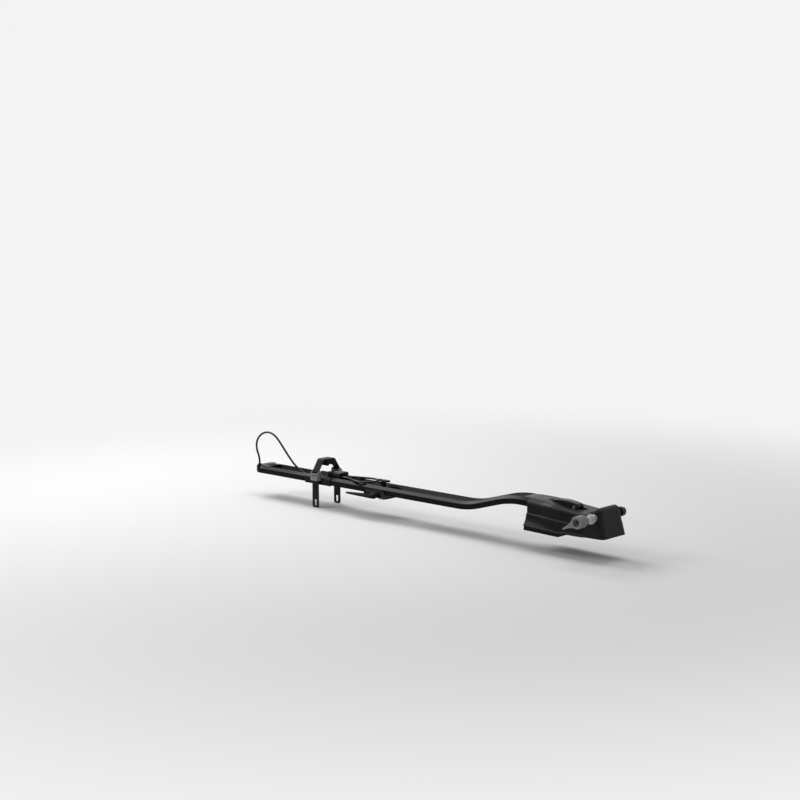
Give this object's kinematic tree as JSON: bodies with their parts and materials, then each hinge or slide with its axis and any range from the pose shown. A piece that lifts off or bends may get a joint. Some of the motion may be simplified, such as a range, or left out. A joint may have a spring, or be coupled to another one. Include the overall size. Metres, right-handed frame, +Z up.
{
  "type": "roof mounted bike carrier",
  "caption": "Fork-mount bike carrier for a car roof: wheel tray with sliding wheel strap and rear clamp, low front base with cam lever, fork head with axle and knob, security cable.",
  "frame": {"origin": "centre of the front bar seat, on the axis of the front clamp bolt, at the underside of the foot pad", "axes": "+X along the tray towards the fork head, +Y away from the knob's side, +Z up"},
  "size_m": [1.3177, 0.199, 0.1974],
  "materials": {
    "satin_black_aluminium": "satin",
    "black_plastic": "fine texture",
    "head_plastic": "fine texture",
    "black_rubber": "matte",
    "strap_rubber": "satin",
    "grey_plastic": "fine texture",
    "knob_plastic": "speckled",
    "light_plastic": "smooth",
    "cable_jacket": "satin",
    "black_steel": "satin",
    "bright_steel": "brushed"
  },
  "bodies": {
    "carrier": {"rail": "satin_black_aluminium", "rear_cap": "black_plastic", "cap_screw_near": "bright_steel", "cap_screw_far": "bright_steel", "cable_gland": "black_rubber", "cable_anchor": "bright_steel", "security_cable": "cable_jacket", "cable_noose": "cable_jacket", "lock_case": "black_plastic", "bar_pad": "black_rubber", "base_shell": "black_plastic", "bonnet": "black_plastic", "base_bracket": "black_steel", "head_shell": "head_plastic", "axle_tube": "bright_steel", "axle_bush_near": "bright_steel", "axle_bush_far": "bright_steel", "skewer": "bright_steel", "far_nut": "black_steel", "cam_plate": "black_plastic", "rail_bolt_rear": "bright_steel", "rail_bolt_front": "bright_steel", "foot_screw_1": "bright_steel", "foot_screw_2": "bright_steel", "foot_screw_3": "bright_steel", "foot_screw_4": "bright_steel", "head_screw_near": "bright_steel", "head_screw_far": "bright_steel"},
    "cable_lock": {"cable_lock": "bright_steel"},
    "wheel_strap": {"strap_band": "strap_rubber", "rim_pad": "black_rubber", "side_clip_near": "black_plastic", "side_clip_far": "black_plastic", "buckle_near": "grey_plastic", "buckle_far": "grey_plastic", "flip_pin_near": "bright_steel", "flip_pin_far": "bright_steel"},
    "flip_near": {"flip_lever_near": "grey_plastic"},
    "flip_far": {"flip_lever_far": "grey_plastic"},
    "rear_clamp": {"rear_pad": "black_rubber", "rear_saddle": "black_steel", "swing_pin": "black_steel", "rear_bolt": "bright_steel", "rear_washer": "bright_steel"},
    "t_handle": {"t_handle": "black_plastic"},
    "swing_lever": {"swing_lever": "black_plastic"},
    "collar": {"collar": "light_plastic"},
    "knob": {"knob_body": "knob_plastic"},
    "knob_lock": {"knob_lock": "black_steel"},
    "front_bolt": {"front_bolt": "black_steel"},
    "clamp_lever": {"clamp_lever": "black_steel", "lever_pin": "black_steel"},
    "lever_lock": {"lever_lock": "bright_steel"}
  },
  "joints": [
    {"name": "strap_slide", "type": "slide", "parent": "carrier", "child": "wheel_strap", "axis": [1, 0, 0], "range_m": [-0.12, 0.05]},
    {"name": "flip_near_swing", "type": "hinge", "parent": "wheel_strap", "child": "flip_near", "pos_m": [-0.921, -0.0498, 0.033], "axis": [-1, 0, 0], "range_deg": [0, 60]},
    {"name": "flip_far_swing", "type": "hinge", "parent": "wheel_strap", "child": "flip_far", "pos_m": [-0.921, 0.0498, 0.033], "axis": [1, 0, 0], "range_deg": [0, 60]},
    {"name": "rear_clamp_slide", "type": "slide", "parent": "carrier", "child": "rear_clamp", "axis": [1, 0, 0], "range_m": [-0.02, 0.12]},
    {"name": "t_handle_turn", "type": "hinge", "parent": "rear_clamp", "child": "t_handle", "pos_m": [-0.688, 0, 0.042], "axis": [0, 0, 1], "range_deg": [0, 720]},
    {"name": "swing_lever_turn", "type": "hinge", "parent": "rear_clamp", "child": "swing_lever", "pos_m": [-0.683, -0.05, 0.006], "axis": [0, 0, 1], "range_deg": [0, 100]},
    {"name": "collar_slide", "type": "slide", "parent": "carrier", "child": "collar", "axis": [0, -1, 0], "range_m": [0, 0.0038]},
    {"name": "knob_turn", "type": "hinge", "parent": "collar", "child": "knob", "pos_m": [0.082, -0.1, 0.054], "axis": [0, -1, 0], "range_deg": [0, 900]},
    {"name": "knob_lock_turn", "type": "hinge", "parent": "knob", "child": "knob_lock", "pos_m": [0.082, -0.118, 0.054], "axis": [0, -1, 0], "range_deg": [0, 90]},
    {"name": "front_bolt_slide", "type": "slide", "parent": "carrier", "child": "front_bolt", "axis": [0, 0, -1], "range_m": [0, 0.00132]},
    {"name": "clamp_lever_swing", "type": "hinge", "parent": "front_bolt", "child": "clamp_lever", "pos_m": [0, 0, 0.067], "axis": [0, 1, 0], "range_deg": [0, 95]},
    {"name": "lever_lock_turn", "type": "hinge", "parent": "clamp_lever", "child": "lever_lock", "pos_m": [-0.0085, -0.0085, 0.0646], "axis": [0, -1, 0], "range_deg": [0, 90]},
    {"name": "cable_lock_turn", "type": "hinge", "parent": "carrier", "child": "cable_lock", "pos_m": [-0.872, -0.008, 0.044], "axis": [0, 0, 1], "range_deg": [0, 90]}
  ],
  "couplings": [
    {"joint": "collar_slide", "follows": "knob_turn", "m_per_rad": 0.00023873},
    {"joint": "front_bolt_slide", "follows": "clamp_lever_swing", "m_per_rad": 0.00078681}
  ]
}
